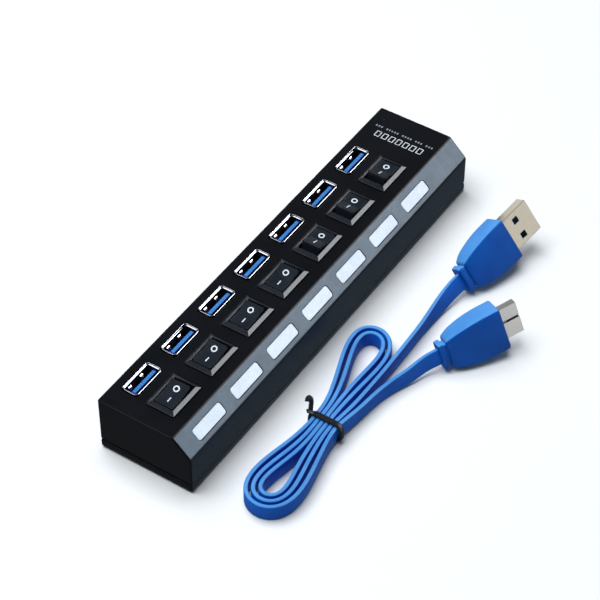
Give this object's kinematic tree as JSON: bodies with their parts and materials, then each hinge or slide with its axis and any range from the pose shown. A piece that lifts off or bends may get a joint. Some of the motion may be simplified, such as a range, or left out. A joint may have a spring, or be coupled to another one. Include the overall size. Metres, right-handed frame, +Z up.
{
  "type": "usb hub",
  "caption": "Long bar-shaped hub with a row of upward-facing receptacles, a rocker switch and a status window beside each, and a detachable flat cable tied in a hank.",
  "frame": {"origin": "on the supporting surface, under the middle of the case", "axes": "+Z up; +X along the case, from the plain end to the socket end; -Y towards the chamfer with the windows, where the cable lies"},
  "size_m": [0.162, 0.0871, 0.0242],
  "materials": {
    "case_plastic": "fine satin moulding, near black",
    "rubber_pad": "matt black rubber",
    "screw_steel": "zinc plated",
    "board_laminate": "green solder mask",
    "chip_resin": "matt black resin",
    "window_plastic": "milky translucent",
    "led_resin": "clear resin",
    "port_steel": "bright nickel plate",
    "tongue_blue": "satin blue",
    "socket_black": "satin black",
    "plated_brass": "bright plate",
    "switch_plastic": "semi-gloss black",
    "rocker_plastic": "semi-gloss black",
    "cord_vinyl": "smooth blue vinyl",
    "plug_vinyl": "satin blue vinyl",
    "plug_steel": "bright nickel plate",
    "tie_vinyl": "black vinyl over wire"
  },
  "bodies": {
    "hub": {"top_cover": "case_plastic", "bottom_cover": "case_plastic", "foot_strip_window_side": "rubber_pad", "foot_strip_port_side": "rubber_pad", "case_screw_1": "screw_steel", "case_screw_2": "screw_steel", "case_screw_3": "screw_steel", "case_screw_4": "screw_steel", "main_board": "board_laminate", "hub_controller_a": "chip_resin", "hub_controller_b": "chip_resin", "light_bar": "window_plastic", "power_lens": "window_plastic", "led_1": "led_resin", "led_2": "led_resin", "led_3": "led_resin", "led_4": "led_resin", "led_5": "led_resin", "led_6": "led_resin", "led_7": "led_resin", "port_shell_1": "port_steel", "port_shell_2": "port_steel", "port_shell_3": "port_steel", "port_shell_4": "port_steel", "port_shell_5": "port_steel", "port_shell_6": "port_steel", "port_shell_7": "port_steel", "upstream_shell": "port_steel", "port_tongue_1": "tongue_blue", "port_tongue_2": "tongue_blue", "port_tongue_3": "tongue_blue", "port_tongue_4": "tongue_blue", "port_tongue_5": "tongue_blue", "port_tongue_6": "tongue_blue", "port_tongue_7": "tongue_blue", "power_jack": "socket_black", "upstream_tongue": "socket_black", "power_jack_pin": "plated_brass", "switch_housing_1": "switch_plastic", "switch_housing_2": "switch_plastic", "switch_housing_3": "switch_plastic", "switch_housing_4": "switch_plastic", "switch_housing_5": "switch_plastic", "switch_housing_6": "switch_plastic", "switch_housing_7": "switch_plastic", "cable_hank": "cord_vinyl", "cable_to_large_plug": "cord_vinyl", "cable_to_small_plug": "cord_vinyl", "large_plug_body": "plug_vinyl", "small_plug_body": "plug_vinyl", "large_plug_shell": "plug_steel", "small_plug_shell": "plug_steel", "cable_tie": "tie_vinyl"},
    "rocker_1": {"rocker_1": "rocker_plastic"},
    "rocker_2": {"rocker_2": "rocker_plastic"},
    "rocker_3": {"rocker_3": "rocker_plastic"},
    "rocker_4": {"rocker_4": "rocker_plastic"},
    "rocker_5": {"rocker_5": "rocker_plastic"},
    "rocker_6": {"rocker_6": "rocker_plastic"},
    "rocker_7": {"rocker_7": "rocker_plastic"}
  },
  "joints": [
    {"name": "switch_1", "type": "hinge", "parent": "hub", "child": "rocker_1", "pos_m": [-0.0668, -0.0012, 0.01925], "axis": [0, 1, 0], "range_deg": [0, 23]},
    {"name": "switch_2", "type": "hinge", "parent": "hub", "child": "rocker_2", "pos_m": [-0.047, -0.0012, 0.01925], "axis": [0, 1, 0], "range_deg": [0, 23]},
    {"name": "switch_3", "type": "hinge", "parent": "hub", "child": "rocker_3", "pos_m": [-0.0272, -0.0012, 0.01925], "axis": [0, 1, 0], "range_deg": [0, 23]},
    {"name": "switch_4", "type": "hinge", "parent": "hub", "child": "rocker_4", "pos_m": [-0.0074, -0.0012, 0.01925], "axis": [0, 1, 0], "range_deg": [0, 23]},
    {"name": "switch_5", "type": "hinge", "parent": "hub", "child": "rocker_5", "pos_m": [0.0124, -0.0012, 0.01925], "axis": [0, 1, 0], "range_deg": [-23, 0]},
    {"name": "switch_6", "type": "hinge", "parent": "hub", "child": "rocker_6", "pos_m": [0.0322, -0.0012, 0.01925], "axis": [0, 1, 0], "range_deg": [-23, 0]},
    {"name": "switch_7", "type": "hinge", "parent": "hub", "child": "rocker_7", "pos_m": [0.052, -0.0012, 0.01925], "axis": [0, 1, 0], "range_deg": [-23, 0]}
  ]
}
